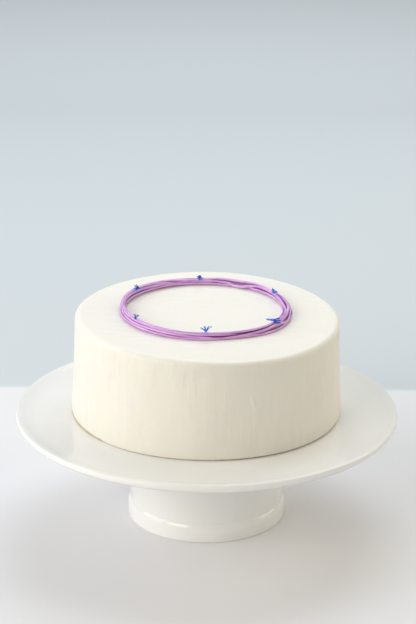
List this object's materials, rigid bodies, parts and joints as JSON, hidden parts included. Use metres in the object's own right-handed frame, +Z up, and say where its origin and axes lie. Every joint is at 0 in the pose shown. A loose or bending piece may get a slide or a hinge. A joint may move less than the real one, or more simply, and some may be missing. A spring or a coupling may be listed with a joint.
{
  "type": "cream cake on a footed cake stand",
  "caption": "Round cream-coated ube shortcake with a wound ring of lilac ube cream and small blue florets, on a white porcelain footed cake stand.",
  "frame": {"origin": "middle of the stand's foot, on the surface that it stands on", "axes": "+Z up; -Y towards the front, from which the picture was taken; +X to the right of the front view"},
  "size_m": [0.305, 0.305, 0.179],
  "materials": {
    "porcelain": "gloss",
    "cardboard": "matte",
    "cream": "matte",
    "ube_cream": "satin",
    "petal": "matte"
  },
  "bodies": {
    "root": {"cake_stand": "porcelain", "cake_card": "cardboard", "cream_cake": "cream", "piped_ring": "ube_cream", "cornflower_floret_1": "petal", "cornflower_floret_2": "petal", "cornflower_floret_3": "petal", "cornflower_floret_4": "petal", "cornflower_floret_5": "petal", "cornflower_floret_6": "petal"}
  },
  "joints": []
}
